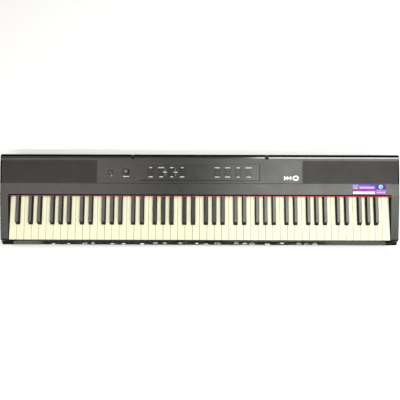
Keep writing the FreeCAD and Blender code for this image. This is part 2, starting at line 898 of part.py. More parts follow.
def button_row(side, row):
    """Four caps of one row of a cluster, each with a softened rim."""
    caps = []
    top = button_height - control_sink
    for x in button_centres(side):
        cap = button_block(x, row, 0, -button_depth, top)
        rim = [e for e in cap.Edges if e.BoundBox.ZMin > top - 0.01]
        caps.append(on_panel(cap.makeFillet(0.5, rim)))
    return caps


def power_button():
    reach = power_size / 2
    cap = rounded_block(power_x - reach, power_x + reach, power_y - reach, power_y + reach,
                        -(panel_board_drop - switch_height() - power_travel - 0.4), power_height, 2.0)
    rim = [e for e in cap.Edges if e.BoundBox.ZMin > power_height - 0.01]
    return on_panel(cap.makeFillet(0.8, rim))


def switch_height():
    """Tactile switches reach up to just below the pressed buttons."""
    return panel_board_drop - button_depth - button_travel - 0.4


def volume_knob():
    """Round knob with a fluted side and a bore that turns on the shaft."""
    v = knob_y
    body = cylinder(knob_diameter, knob_height, V(knob_x, v, knob_lift))
    rims = [e for e in body.Edges if e.BoundBox.ZMin > knob_lift + knob_height - 0.01]
    body = body.makeFillet(1.2, rims)
    flutes = []
    for n in range(24):
        angle = 2 * math.pi * n / 24
        reach = knob_diameter / 2 + 0.35
        flutes.append(cylinder(1.6, knob_height - 3.5,
                               V(knob_x + reach * math.cos(angle), v + reach * math.sin(angle),
                                 knob_lift + 1)))
    pointer = box(knob_x - 0.6, knob_x + 0.6, v + 3.5, v + knob_diameter / 2 - 1.4,
                  knob_lift + knob_height - 0.5, knob_lift + knob_height + 1)
    bore = cylinder(shaft_diameter + 2 * running_clearance, knob_height - 3, V(knob_x, v, knob_lift - 0.1))
    return on_panel(body.cut(flutes + [pointer, bore]))


def volume_potentiometer():
    half = pot_size / 2
    top = -panel_board_drop + pot_depth
    shaft = cylinder(shaft_diameter, knob_lift + knob_height - 4 - top, V(knob_x, knob_y, top - 1))
    body = box(knob_x - half, knob_x + half, knob_y - half, knob_y + half, -panel_board_drop, top - 2.2)
    collar = cylinder(shaft_diameter + 1.4, 2.2, V(knob_x, knob_y, top - 2.3))
    return on_panel(body.fuse([collar, shaft]).removeSplitter())


def panel_board():
    """Circuit board under the controls, with one switch under each button."""
    left = power_x - 20
    right = button_row_span(1)[1] + 12
    board = box(left, right, control_start + 4, control_start + control_width - 4,
                -panel_board_drop - board_thickness, -panel_board_drop)
    switches = []
    half = switch_size / 2
    places = [(power_x, power_y)]
    for row in (button_row_rear, button_row_front):
        for side in (-1, 1):
            places += [(x, row) for x in button_centres(side)]
    for x, v in places:
        switches.append(box(x - half, x + half, v - half, v + half,
                            -panel_board_drop - 0.1, -panel_board_drop + switch_height()))
    return on_panel(board.fuse(switches))


# ---- Rear sockets and fixings ------------------------------------------

def round_socket(x, bore, depth):
    """Socket body with a bushing that reaches out through the rear wall."""
    mouth_y = rear_y - socket_sink
    body_front = mouth_y - bushing_length
    half = socket_body / 2
    body = box(x - half, x + half, body_front - depth, body_front, socket_z - half, socket_z + half)
    bushing = cylinder(bushing_diameter, bushing_length + 1, V(x, body_front - 1, socket_z), V(0, 1, 0))
    hole = cylinder(bore, depth, V(x, mouth_y - depth, socket_z), V(0, 1, 0))
    return body.fuse(bushing).cut(hole)


def usb_socket():
    half_w = usb_width / 2
    half_h = usb_height / 2
    y1 = rear_y - socket_sink
    shell = box(usb_x - half_w - usb_shell, usb_x + half_w + usb_shell, y1 - usb_depth - 2, y1,
                socket_z - half_h - usb_shell, socket_z + half_h + usb_shell)
    room = box(usb_x - half_w, usb_x + half_w, y1 - usb_depth, y1 + 1, socket_z - half_h, socket_z + half_h)
    return shell.cut(room)


def jack_sockets():
    power = round_socket(dc_x, dc_bore, dc_depth)
    pin_rear = rear_y - socket_sink - dc_depth
    pin = cylinder(dc_pin, dc_depth - 1.5, V(dc_x, pin_rear, socket_z), V(0, 1, 0))
    return [round_socket(phones_x, plug_bore, plug_depth), round_socket(pedal_x, plug_bore, plug_depth),
            power.fuse(pin), usb_socket()]


def main_board():
    """Circuit board that carries the rear sockets, on four posts."""
    half = main_board_length / 2
    y1 = rear_y - case_wall - 1.0
    y0 = y1 - main_board_width
    top = main_board_z + board_thickness
    board = box(main_board_x - half, main_board_x + half, y0, y1, main_board_z, top)
    posts = [cylinder(6.0, main_board_z - floor_top_z, V(x, y, floor_top_z))
             for x in (main_board_x - half + 5, main_board_x + half - 5) for y in (y0 + 5, y1 - 5)]
    beside = socket_body / 2 + 4
    chips = [box(x, x + chip_length, y0 + 4, y0 + 4 + chip_length, top - 0.1, top + 1.8)
             for x in (phones_x - beside - chip_length, phones_x + beside, dc_x + beside)]
    return board.fuse(posts + chips)


def music_rest_sockets():
    """Blind ferrules for the two wire legs of a music rest."""
    top = rest_mouth_z()
    ferrules = []
    for x in (-rest_x, rest_x):
        body = cylinder(rest_ferrule, rest_depth + rest_floor, V(x, rest_y, top - rest_depth - rest_floor))
        bore = cylinder(rest_bore, rest_depth + 1, V(x, rest_y, top - rest_depth))
        ferrules.append(body.cut(bore))
    return ferrules


def rest_mouth_z():
    return lip_z + (rest_y - rest_ferrule / 2 - lip_y) * math.tan(slope) - rest_sink


def case_screws():
    screws = []
    head_z = foot_height + screw_sink
    for x, y in screw_places():
        head = cylinder(screw_head, screw_head_height, V(x, y, head_z - screw_head_height))
        shaft = cylinder(screw_shaft, split_z - head_z + screw_engagement - 1, V(x, y, head_z - 0.5))
        arms = [box(x - 1.9, x + 1.9, y - 0.45, y + 0.45, head_z - screw_head_height - 1, head_z - 1.1),
                box(x - 0.45, x + 0.45, y - 1.9, y + 1.9, head_z - screw_head_height - 1, head_z - 1.1)]
        screws.append(head.fuse(shaft).cut(arms))
    return screws


def rubber_feet():
    x = half_length - foot_inset_x
    places = [(sx, sy) for sx in (-x, 0, x) for sy in (cheek_front_y + foot_inset_y, bay_y0 - 20)]
    feet = []
    for px, py in places:
        foot = cylinder(foot_diameter, foot_height, V(px, py, 0))
        lower = [e for e in foot.Edges if e.BoundBox.ZMax < 0.01]
        feet.append(foot.makeFillet(1.0, lower))
    return feet


# ---- Marks --------------------------------------------------------------

def badge():
    """A row of upright bars and an open oval, raised on the panel."""
    t = badge_thickness
    oval_x = badge_x + 13.5
    oval = Part.Face(ellipse_wire(badge_oval_length, badge_oval_width, oval_x, badge_y, 0))
    oval = oval.extrude(V(0, 0, t))
    hole = Part.Face(ellipse_wire(badge_oval_length - 7, badge_oval_width - 10, oval_x, badge_y, -1))
    bars = []
    for n, height in enumerate(badge_bar_heights):
        x = badge_x - 24 + n * badge_bar_pitch
        bars.append(rounded_block(x, x + badge_bar_pitch - 1.4, badge_y - height / 2, badge_y + height / 2,
                                  0, t, 1.0))
    return [on_panel(shape) for shape in [oval.cut(hole.extrude(V(0, 0, t + 2)))] + bars]


def sticker():
    half = sticker_length / 2
    return on_panel(rounded_block(sticker_x - half, sticker_x + half, sticker_start,
                                  sticker_start + sticker_width, 0, sticker_thickness, 1.5))


# ---- Everything ---------------------------------------------------------

def main():
    os.makedirs("parts", exist_ok=True)
    for name, solids in key_nodes().items():
        write(name, solids)
    write("bottom_case", single_solids(bottom_case()))
    write("top_case", single_solids(top_case()))
    write("end_cheeks", single_solids(end_cheeks()))
    write("rear_panel", single_solids(rear_panel()))
    write("screw_posts", screw_posts())
    write("front_rail", single_solids(front_rail()))
    cap = front_corner_cap()
    write("front_corner_caps", [mirrored(cap), cap])
    write("key_chassis", single_solids(key_chassis()))
    write("key_pivot_rod", [key_pivot_rod()])
    write("key_springs", key_springs())
    write("key_stop_felts", key_stop_felts())
    write("red_felt_strip", [red_felt_strip()])
    write("contact_boards", contact_boards())
    write("rubber_contact_strips", rubber_contact_strips())
    right_grille = grille()
    write("right_speaker_grille", single_solids(right_grille))
    write("left_speaker_grille", single_solids(mirrored(right_grille)))
    for name, shape in (("speaker_baskets", speaker_basket()), ("speaker_cones", speaker_cone())):
        write(name, single_solids(shape) + single_solids(mirrored(shape)))
    write("control_panel", single_solids(control_panel()))
    for side, side_name in ((-1, "left"), (1, "right")):
        write(side_name + "_rear_buttons", button_row(side, button_row_rear))
        write(side_name + "_front_buttons", button_row(side, button_row_front))
    write("power_button", single_solids(power_button()))
    write("volume_knob", single_solids(volume_knob()))
    write("volume_potentiometer", single_solids(volume_potentiometer()))
    write("panel_board", single_solids(panel_board()))
    write("main_board", single_solids(main_board()))
    write("jack_sockets", jack_sockets())
    write("battery_door", single_solids(battery_door()))
    write("battery_contacts", battery_contacts())
    write("music_rest_sockets", music_rest_sockets())
    write("case_screws", case_screws())
    write("rubber_feet", rubber_feet())
    write("badge", badge())
    write("sticker", [sticker()])


main()
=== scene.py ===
import json
import math
import random

import bmesh
import bpy
from mathutils import Matrix, Vector


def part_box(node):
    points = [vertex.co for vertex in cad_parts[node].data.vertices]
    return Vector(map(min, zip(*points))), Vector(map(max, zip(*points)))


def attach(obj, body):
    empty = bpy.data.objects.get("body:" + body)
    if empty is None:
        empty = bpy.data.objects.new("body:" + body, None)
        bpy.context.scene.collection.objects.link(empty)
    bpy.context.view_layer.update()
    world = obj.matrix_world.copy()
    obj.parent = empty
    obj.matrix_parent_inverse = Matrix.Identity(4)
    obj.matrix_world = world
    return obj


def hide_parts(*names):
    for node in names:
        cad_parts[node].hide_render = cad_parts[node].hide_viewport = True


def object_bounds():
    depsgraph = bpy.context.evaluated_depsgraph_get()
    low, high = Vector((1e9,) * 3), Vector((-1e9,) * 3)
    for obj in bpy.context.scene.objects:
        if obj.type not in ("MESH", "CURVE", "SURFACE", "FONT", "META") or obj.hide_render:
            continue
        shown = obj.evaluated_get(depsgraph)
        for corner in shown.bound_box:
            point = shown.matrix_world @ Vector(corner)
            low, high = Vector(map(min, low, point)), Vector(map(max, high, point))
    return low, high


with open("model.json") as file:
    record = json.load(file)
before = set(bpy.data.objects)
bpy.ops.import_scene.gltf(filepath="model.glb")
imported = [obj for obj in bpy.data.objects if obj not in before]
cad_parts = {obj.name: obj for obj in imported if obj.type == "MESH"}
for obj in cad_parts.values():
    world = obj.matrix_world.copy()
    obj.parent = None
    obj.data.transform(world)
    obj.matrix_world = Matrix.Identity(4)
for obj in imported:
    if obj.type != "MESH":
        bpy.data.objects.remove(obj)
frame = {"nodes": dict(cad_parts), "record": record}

cad_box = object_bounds()
scene = bpy.context.scene
record = frame["record"]
mm = 0.001

# ---- Camera --------------------------------------------------------------
# It looks down from above the player's edge, a few degrees off the vertical.

camera_distance = 1.30
camera_tilt = math.radians(5.2)
camera_roll = math.radians(0.16)
camera_lens = 36.2
key_top_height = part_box("keys_c")[1].z
camera_target = Vector((0.0010, 0.0, key_top_height))

camera_data = bpy.data.cameras.new("camera")
camera_data.sensor_width = 36.0
camera_data.lens = camera_lens
camera = bpy.data.objects.new("camera", camera_data)
scene.collection.objects.link(camera)
camera_side = Vector((0.0, -math.sin(camera_tilt), math.cos(camera_tilt)))
camera_turn = Matrix.Rotation(camera_tilt, 3, "X") @ Matrix.Rotation(camera_roll, 3, "Z")
camera.location = camera_target + camera_distance * camera_side
camera.rotation_euler = camera_turn.to_euler()
scene.camera = camera
scene.view_settings.view_transform = "Standard"


# ---- Materials -----------------------------------------------------------

def srgb(red, green, blue):
    """A colour given in display values from 0 to 255."""
    def linear(value):
        value /= 255.0
        return value / 12.92 if value <= 0.04045 else ((value + 0.055) / 1.055) ** 2.4
    return (linear(red), linear(green), linear(blue), 1.0)


class Material:
    """A node material on the object's own coordinates, built up in steps."""

    def __init__(self, name, colour, roughness, **inputs):
        self.material = bpy.data.materials.new(name)
        self.material.use_nodes = True
        self.tree = self.material.node_tree
        self.shader = self.tree.nodes["Principled BSDF"]
        self.shader.inputs["Base Color"].default_value = colour
        self.shader.inputs["Roughness"].default_value = roughness
        self.material.diffuse_color = colour
        for key, value in inputs.items():
            self.shader.inputs[key.replace("_", " ")].default_value = value
        self.coordinates = self.add("ShaderNodeTexCoord").outputs["Object"]
        self.height = None

    def add(self, kind, **values):
        node = self.tree.nodes.new(kind)
        for key, value in values.items():
            setattr(node, key, value)
        return node

    def link(self, source, target):
        self.tree.links.new(source, target)

    def noise(self, scale, detail=3.0, stretch=(1.0, 1.0, 1.0)):
        mapping = self.add("ShaderNodeMapping")
        mapping.inputs["Scale"].default_value = stretch
        self.link(self.coordinates, mapping.inputs["Vector"])
        noise = self.add("ShaderNodeTexNoise")
        noise.inputs["Scale"].default_value = scale
        noise.inputs["Detail"].default_value = detail
        noise.inputs["Roughness"].default_value = 0.55
        self.link(mapping.outputs["Vector"], noise.inputs["Vector"])
        return noise.outputs["Fac"]

    def ranged(self, source, low, high, start=0.3, end=0.7):
        """Stretch a 0 to 1 pattern between low and high."""
        node = self.add("ShaderNodeMapRange")
        node.inputs["From Min"].default_value = start
        node.inputs["From Max"].default_value = end
        node.inputs["To Min"].default_value = low
        node.inputs["To Max"].default_value = high
        self.link(source, node.inputs["Value"])
        return node.outputs["Result"]

    def mottle(self, source, first, second, start=0.3, end=0.7):
        """Colour that wanders between first and second with a pattern."""
        mix = self.add("ShaderNodeMix", data_type="RGBA")
        mix.inputs["A"].default_value = first
        mix.inputs["B"].default_value = second
        self.link(self.ranged(source, 0.0, 1.0, start, end), mix.inputs["Factor"])
        self.link(mix.outputs["Result"], self.shader.inputs["Base Color"])
        return self

    def gloss(self, source, low, high, start=0.3, end=0.7):
        self.link(self.ranged(source, low, high, start, end), self.shader.inputs["Roughness"])
        return self

    def bump(self, source, distance, strength=1.0):
        """Add a height pattern; several stack up."""
        node = self.add("ShaderNodeBump")
        node.inputs["Distance"].default_value = distance
        node.inputs["Strength"].default_value = strength
        self.link(source, node.inputs["Height"])
        if self.height is not None:
            self.link(self.height, node.inputs["Normal"])
        self.height = node.outputs["Normal"]
        self.link(self.height, self.shader.inputs["Normal"])
        return self


def upright_fade(m, channel, upright):
    """Take a channel over to the value that it has on upright faces, as a face turns away from level."""
    separate = m.add("ShaderNodeSeparateXYZ")
    m.link(m.add("ShaderNodeTexCoord").outputs["Normal"], separate.inputs["Vector"])
    level = m.ranged(separate.outputs["Z"], 0.0, 1.0, 0.45, 0.85)
    source = m.shader.inputs[channel].links[0].from_socket
    if channel == "Roughness":
        mix = m.add("ShaderNodeMix", data_type="FLOAT")
        first, second, result = mix.inputs[2], mix.inputs[3], mix.outputs[0]
    else:
        mix = m.add("ShaderNodeMix", data_type="RGBA")
        first, second, result = mix.inputs["A"], mix.inputs["B"], mix.outputs["Result"]
    m.link(level, mix.inputs[0])
    first.default_value = upright
    m.link(source, second)
    m.link(result, m.shader.inputs[channel])


def shade(colour, factor):
    return tuple(c * factor for c in colour[:3]) + (1.0,)


def moulded(name, colour, roughness, grain=2200.0, depth=0.00003, spread=0.12, matte_sides_and_painted_shade=False, **inputs):
    """Spark-eroded moulded plastic: fine grain, slow tone changes and worn patches. Where asked, its upright
    faces are matte and darkened with painted shade.
    """
    m = Material(name, colour, roughness, **inputs)
    m.mottle(m.noise(9.0, 4.0), shade(colour, 1 - spread), shade(colour, 1 + spread))
    m.gloss(m.noise(26.0, 5.0), roughness - 0.04, roughness + 0.04)
    m.bump(m.noise(grain, 2.0), depth)
    m.bump(m.noise(7.0, 1.0), 0.0003, 0.3)
    # Upright faces turn rough and matte, and near-black: the near-black on the sides is painted shade.
    if matte_sides_and_painted_shade:
        upright_fade(m, "Roughness", 0.85)
        upright_fade(m, "Base Color", (0.0006, 0.0006, 0.0006, 1.0))
    return m.material


def polished(name, colour, roughness, waviness=0.0, spread=0.05, **inputs):
    """Smooth moulding with faint flow lines and light scuffs."""
    m = Material(name, colour, roughness, **inputs)
    m.mottle(m.noise(14.0, 3.0), shade(colour, 1 - spread), shade(colour, 1 + spread))
    m.gloss(m.noise(60.0, 6.0, (1.0, 0.35, 1.0)), roughness * 0.7, roughness * 1.4)
    m.bump(m.noise(900.0, 2.0), 0.000004)
    if waviness:
        m.bump(m.noise(42.0, 2.0, (0.8, 1.6, 1.0)), waviness)
    return m.material


def felt(name, colour):
    m = Material(name, colour, 0.95, Sheen_Weight=0.6, Sheen_Roughness=0.5)
    m.mottle(m.noise(700.0, 5.0), shade(colour, 0.6), shade(colour, 1.35))
    m.bump(m.noise(1500.0, 6.0), 0.0003)
    return m.material


def metal(name, colour, roughness, brushed=(1.0, 1.0, 1.0)):
    m = Material(name, colour, roughness, Metallic=1.0)
    m.gloss(m.noise(500.0, 4.0, brushed), roughness * 0.75, roughness * 1.3)
    m.mottle(m.noise(40.0, 3.0), shade(colour, 0.88), shade(colour, 1.06))
    m.bump(m.noise(900.0, 3.0, brushed), 0.00001)
    return m.material


def board(name):
    """Solder mask over copper tracks."""
    green = srgb(24, 92, 58)
    m = Material(name, green, 0.35)
    m.mottle(m.noise(180.0, 1.0, (1.0, 0.2, 1.0)), green, srgb(44, 122, 76), 0.5, 0.52)
    m.bump(m.noise(180.0, 1.0, (1.0, 0.2, 1.0)), 0.00004)
    return m.material


def ink(name, colour):
    """Screen-printed ink, a little uneven at its edges."""
    m = Material(name, colour, 0.45)
    m.mottle(m.noise(1600.0, 3.0), shade(colour, 0.86), colour)
    m.gloss(m.noise(800.0, 2.0), 0.35, 0.6)
    m.bump(m.noise(2500.0, 2.0), 0.00001)
    return m.material


materials = {
    # The case and the black keys carry painted shade on their upright faces.
    "case": moulded("case_plastic", (0.0125, 0.0118, 0.0105, 1.0), 0.30, matte_sides_and_painted_shade=True),
    "rail": polished("rail_plastic", (0.006, 0.006, 0.005, 1.0), 0.07, waviness=0.00012,
                     Specular_IOR_Level=0.55),
    "corner_cap": moulded("corner_cap_plastic", (0.003, 0.003, 0.003, 1.0), 0.55, Specular_IOR_Level=0.12),
    "chassis": moulded("chassis_plastic", srgb(120, 120, 116), 0.6),
    "steel": metal("steel_rod", srgb(190, 190, 188), 0.25, (0.02, 1.0, 1.0)),
    "spring_steel": metal("spring_strip", srgb(160, 158, 150), 0.3, (1.0, 0.05, 1.0)),
    "grey_felt": felt("grey_felt", srgb(120, 119, 116)),
    "red_felt": felt("red_felt", srgb(214, 22, 40)),
    "circuit_board": board("circuit_board"),
    "grey_rubber": moulded("grey_silicone", srgb(120, 120, 120), 0.7),
    "grille": moulded("grille_plastic", (0.026, 0.020, 0.021, 1.0), 0.42, grain=3000.0,
                      Specular_IOR_Level=0.32),
    "basket": moulded("basket_paint", srgb(26, 26, 26), 0.5),
    "cone_paper": felt("cone_paper", srgb(34, 33, 32)),
    "panel": moulded("panel_facing", (0.0110, 0.0108, 0.0098, 1.0), 0.28, grain=3200.0, depth=0.000015),
    "button": moulded("button_plastic", (0.0100, 0.0098, 0.0090, 1.0), 0.26, grain=3200.0, depth=0.00001),
    "knob": polished("knob_plastic", (0.002, 0.002, 0.002, 1.0), 0.10, Specular_IOR_Level=0.3),
    "socket": moulded("socket_plastic", (0.006, 0.006, 0.006, 1.0), 0.4),
    "contact_plate": metal("contact_plate", srgb(205, 203, 196), 0.2),
    "screw": metal("screw_metal", srgb(60, 60, 60), 0.42),
    "rubber": moulded("rubber", (0.012, 0.012, 0.012, 1.0), 0.8),
    "badge": polished("badge_white", srgb(246, 246, 244), 0.35),
    "sticker": polished("sticker_base", srgb(130, 62, 150), 0.25),
    "white_key": polished("white_key_plastic", (0.79, 0.77, 0.56, 1.0), 0.22, spread=0.02,
                          Specular_IOR_Level=0.25),
    "black_key": moulded("black_key_plastic", (0.0105, 0.0098, 0.0090, 1.0), 0.24, grain=2600.0,
                         depth=0.000010, matte_sides_and_painted_shade=True, Specular_IOR_Level=0.62),
}
white_ink = ink("white_ink", (0.88, 0.88, 0.87, 1.0))
rim_gloss = polished("rim_gloss", (0.010, 0.010, 0.010, 1.0), 0.16, Specular_IOR_Level=1.0,
                     Coat_Weight=1.0, Coat_IOR=2.0, Coat_Roughness=0.12)
# Near-black for painted shade: the dark gaps and edge strips below are drawn with it.
painted_shade_black = moulded("painted_shade_black", (0.0015, 0.0015, 0.0015, 1.0), 0.6, Specular_IOR_Level=0.06)
grille_cloth = felt("grille_cloth", (0.004, 0.0035, 0.0035, 1.0))
nickel = metal("nickel", srgb(200, 198, 190), 0.22)

for subpart in record["subparts"]:
    for material_slot in frame["nodes"][subpart["node"]].material_slots:
        material_slot.material = materials[subpart["material_slot"]]

# ---- Panel coordinates ---------------------------------------------------
# Places on the sloping panel are in millimetres: x, u up the slope from the lip, and out of the panel.

knob_joint = next(joint for joint in record["behaviour"]["joints"] if joint["name"] == "volume_knob_turn")
knob_foot = Vector(knob_joint["pos_m"])
knob_x = knob_foot.x / mm
knob_u = 74.4
panel_normal = Vector(knob_joint["axis"])
panel_slope = math.atan2(-panel_normal.y, panel_normal.z)
panel_along = Vector((0.0, math.cos(panel_slope), math.sin(panel_slope)))
panel_origin = Vector((0.0, knob_foot.y, knob_foot.z)) - panel_along * knob_u * mm
on_panel = (Matrix.Translation(panel_origin) @ Matrix.Rotation(panel_slope, 4, "X")
            @ Matrix.Scale(mm, 4))
in_place = Matrix.Scale(mm, 4)
lip_y = panel_origin.y / mm
sides = ((-1, "left"), (1, "right"))


def up_slope(y):
    return (y - lip_y) / math.cos(panel_slope)


def panel_box(node):
    """A node's lowest and highest x and u."""
    low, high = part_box(node)
    return low.x / mm, high.x / mm, up_slope(low.y / mm), up_slope(high.y / mm)


# ---- Mesh helpers --------------------------------------------------------

def piece(name, data, finish, place=on_panel, body="case", smooth=False):
    """Turn bmesh data into an object that rides on a body."""
    data.transform(place)
    bmesh.ops.recalc_face_normals(data, faces=data.faces)
    mesh = bpy.data.meshes.new(name)
    data.to_mesh(mesh)
    data.free()
    for material in finish if isinstance(finish, list) else [finish]:
        mesh.materials.append(material)
    if smooth:
        mesh.polygons.foreach_set("use_smooth", [True] * len(mesh.polygons))
    made = bpy.data.objects.new(name, mesh)
    scene.collection.objects.link(made)
    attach(made, body)
    return made


def skin(data, loops, ends=True):
    """Join loops of vertices in turn, then close both ends, or join the last loop to the first."""
    followers = loops[1:] if ends else loops[1:] + loops[:1]
    for first, second in zip(loops, followers):
        count = len(first)
        for i in range(count):
            j = (i + 1) % count
            data.faces.new((first[i], first[j], second[j], second[i]))
    if ends:
        data.faces.new(loops[0])
        data.faces.new(loops[-1][::-1])


def add_block(data, x0, x1, y0, y1, z0, z1, soften=0.0):
    """A block, with its edges softened where asked."""
    corners = [data.verts.new((x, y, z)) for z in (z0, z1) for y in (y0, y1) for x in (x0, x1)]
    quads = ((0, 2, 3, 1), (4, 5, 7, 6), (0, 1, 5, 4), (2, 6, 7, 3), (0, 4, 6, 2), (1, 3, 7, 5))
    faces = [data.faces.new([corners[i] for i in quad]) for quad in quads]
    if soften:
        edges = list({edge for face in faces for edge in face.edges})
        bmesh.ops.bevel(data, geom=edges, offset=soften, segments=2, affect="EDGES", profile=0.6)


def add_tablet(data, outline, z0, z1, finish=0):
    """An upright prism over an outline of (x, y) points."""
    low = [data.verts.new((x, y, z0)) for x, y in outline]
    high = [data.verts.new((x, y, z1)) for x, y in outline]
    count = len(outline)
    faces = [data.faces.new(high), data.faces.new(low[::-1])]
    for i in range(count):
        j = (i + 1) % count
        faces.append(data.faces.new((low[i], low[j], high[j], high[i])))
    for face in faces:
        face.material_index = finish


def rounded_outline(x0, x1, y0, y1, radius, steps=5):
    points = []
    for cx, cy, start in ((x1 - radius, y1 - radius, 0), (x0 + radius, y1 - radius, 90),
                          (x0 + radius, y0 + radius, 180), (x1 - radius, y0 + radius, 270)):
        for n in range(steps + 1):
            angle = math.radians(start + 90 * n / steps)
            points.append((cx + radius * math.cos(angle), cy + radius * math.sin(angle)))
    return points


def circle_outline(cx, cy, radius, steps=32):
    angles = [2 * math.pi * n / steps for n in range(steps)]
    return [(cx + radius * math.cos(angle), cy + radius * math.sin(angle)) for angle in angles]


def arc(cx, cy, radius, start, end, steps=8):
    """Points on part of a circle, from start to end in degrees."""
    angles = [math.radians(start + (end - start) * n / steps) for n in range(steps + 1)]
    return [(cx + radius * math.cos(angle), cy + radius * math.sin(angle)) for angle in angles]


def sweep(data, profile, start, end, axis="x", slices=1):
    """Extrude a closed profile along x (profile in y, z) or along y (profile in x, z)."""
    loops = []
    for n in range(slices + 1):
        at = start + (end - start) * n / slices
        loops.append([data.verts.new((at, a, b) if axis == "x" else (a, at, b)) for a, b in profile])
    skin(data, loops)


def ring(data, centre, inner, outer, y0, y1, outer_sides=None):
    """A washer, or a nut where outer_sides is 6, about an axis along y."""
    cx, cz = centre
    steps = 48
    loops = []
    for radius, y in ((inner, y0), (outer, y0), (outer, y1), (inner, y1)):
        loop = []
        for n in range(steps):
            angle = 2 * math.pi * n / steps
            reach = radius
            if outer_sides and radius == outer:
                part = 2 * math.pi / outer_sides
                reach = radius * math.cos(part / 2) / math.cos((angle % part) - part / 2)
            loop.append(data.verts.new((cx + reach * math.cos(angle), y, cz + reach * math.sin(angle))))
        loops.append(loop)
    skin(data, loops, ends=False)


def add_frame(data, box, grow, width, radius, base, level, inner_level=None):
    """A flat frame, or a sloping one where it has an inner level, round a box (x0, x1, u0, u1).

    Its outer edge is the box grown by a distance along x and one along u, with rounded corners.
    """
    x0, x1, u0, u1 = box[0] - grow[0], box[1] + grow[0], box[2] - grow[1], box[3] + grow[1]
    outer = rounded_outline(x0, x1, u0, u1, radius)
    inner = rounded_outline(x0 + width, x1 - width, u0 + width, u1 - width, max(radius - width, 0.05))
    inner_level = level if inner_level is None else inner_level
    levels = ((outer, base), (outer, level), (inner, inner_level), (inner, base))
    skin(data, [[data.verts.new((x, y, z)) for x, y in outline] for outline, z in levels], ends=False)


def dashes(centre, width, rng, lengths, gap, least, clip=False):
    """Yield the two ends of short dashes that fill a width, as the letters of a word would."""
    at = centre - width / 2
    end = centre + width / 2
    while at < end - least:
        length = rng.uniform(*lengths)
        if clip:
            length = min(length, end - at)
        yield at, at + length
        at += length + gap


# ---- Speaker grilles -----------------------------------------------------

grille_inner, grille_outer = 328.8, 632.7
grille_front, grille_rear = 38.3, 110.2
hole_pitch = 2.9
hole_radius = 0.92
plate_border = 2.6
plate_top, plate_bottom = -0.5, -1.2


def perforated_plate(x0, x1):
    """A thin plate with a square field of round holes and a plain border."""
    data = bmesh.new()
    columns = round((x1 - x0 - 2 * plate_border) / hole_pitch)
    rows = round((grille_rear - grille_front - 2 * plate_border) / hole_pitch)
    left = (x0 + x1 - columns * hole_pitch) / 2
    front = (grille_front + grille_rear - rows * hole_pitch) / 2
    right = left + columns * hole_pitch
    rear = front + rows * hole_pitch
    known = {}

    def vertex(x, y, z):
        key = (round(x, 3), round(y, 3), z)
        if key not in known:
            known[key] = data.verts.new((x, y, z))
        return known[key]

    def level_faces(*corners):
        for z in (plate_top, plate_bottom):
            data.faces.new([vertex(x, y, z) for x, y in corners])

    def wall(a, b):
        data.faces.new((vertex(*a, plate_top), vertex(*b, plate_top),
                        vertex(*b, plate_bottom), vertex(*a, plate_bottom)))

    half = hole_pitch / 2
    rim = [(half, 0), (half, half), (0, half), (-half, half), (-half, 0), (-half, -half), (0, -half),
           (half, -half)]
    hole = circle_outline(0.0, 0.0, hole_radius, 8)
    for row in range(rows):
        for column in range(columns):
            cx = left + (column + 0.5) * hole_pitch
            cy = front + (row + 0.5) * hole_pitch
            near = [(cx + x, cy + y) for x, y in hole]
            far = [(cx + x, cy + y) for x, y in rim]
            for n in range(8):
                m = (n + 1) % 8
                level_faces(near[n], far[n], far[m], near[m])
                wall(near[n], near[m])

    xs = [left + n * half for n in range(2 * columns + 1)]
    ys = [front + n * half for n in range(2 * rows + 1)]
    for a, b in zip(xs, xs[1:]):
        level_faces((a, grille_front), (b, grille_front), (b, front), (a, front))
        level_faces((a, rear), (b, rear), (b, grille_rear), (a, grille_rear))
    for a, b in zip(ys, ys[1:]):
        level_faces((x0, a), (left, a), (left, b), (x0, b))
        level_faces((right, a), (x1, a), (x1, b), (right, b))
    for a, b in ((x0, left), (right, x1)):
        for c, d in ((grille_front, front), (rear, grille_rear)):
            level_faces((a, c), (b, c), (b, d), (a, d))
    xs = [x0] + xs + [x1]
    ys = [grille_front] + ys + [grille_rear]
    outline = ([(x, grille_front) for x in xs] + [(x1, y) for y in ys[1:]]
               + [(x, grille_rear) for x in xs[-2::-1]] + [(x0, y) for y in ys[-2::-1]])
    for a, b in zip(outline, outline[1:]):
        wall(a, b)
    return data


def grilles():
    """Perforated plates over dark cloth."""
    for side, name in sides:
        x0, x1 = sorted((side * grille_inner, side * grille_outer))
        plate = piece(name + "_perforated_grille", perforated_plate(x0, x1), materials["grille"])
        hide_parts(name + "_speaker_grille")
        cloth = bmesh.new()
        add_block(cloth, x0, x1, grille_front, grille_rear, -1.85, -1.3, soften=0.15)
        piece(name + "_grille_cloth", cloth, grille_cloth)


def grille_gaps():
    """Near-black frames in the gaps round the grilles: painted shade in the gaps."""
    for side, name in sides:
        x0, x1 = sorted((side * grille_inner, side * grille_outer))
        data = bmesh.new()
        add_frame(data, (x0, x1, grille_front, grille_rear), (0.75, 0.75), width=0.72, radius=0.3,
                  base=-1.6, level=-0.62)
        piece(name + "_grille_gap_shade", data, painted_shade_black)


# ---- Edges, with near-black strips of painted shade ----------------------

case_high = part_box("top_case")[1]
half_length = case_high.x / mm
roll_radius = 8.0
roll_y = case_high.y / mm - roll_radius
roll_z = case_high.z / mm - roll_radius
roll_u = up_slope(roll_y)
end_radius = 2.5
felt_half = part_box("red_felt_strip")[1].x / mm
mounts = {mount["name"]: [value / mm for value in mount["pos_m"]] for mount in record["mounts"]}


def rear_runs(reach):
    """The stretches along the rear edge that miss the music rest sockets."""
    sockets = (mounts["music_rest_left"][0], mounts["music_rest_right"][0])
    ends = sorted([-reach, reach] + [x + clear for x in sockets for clear in (-6.6, 6.6)])
    return zip(ends[::2], ends[1::2])


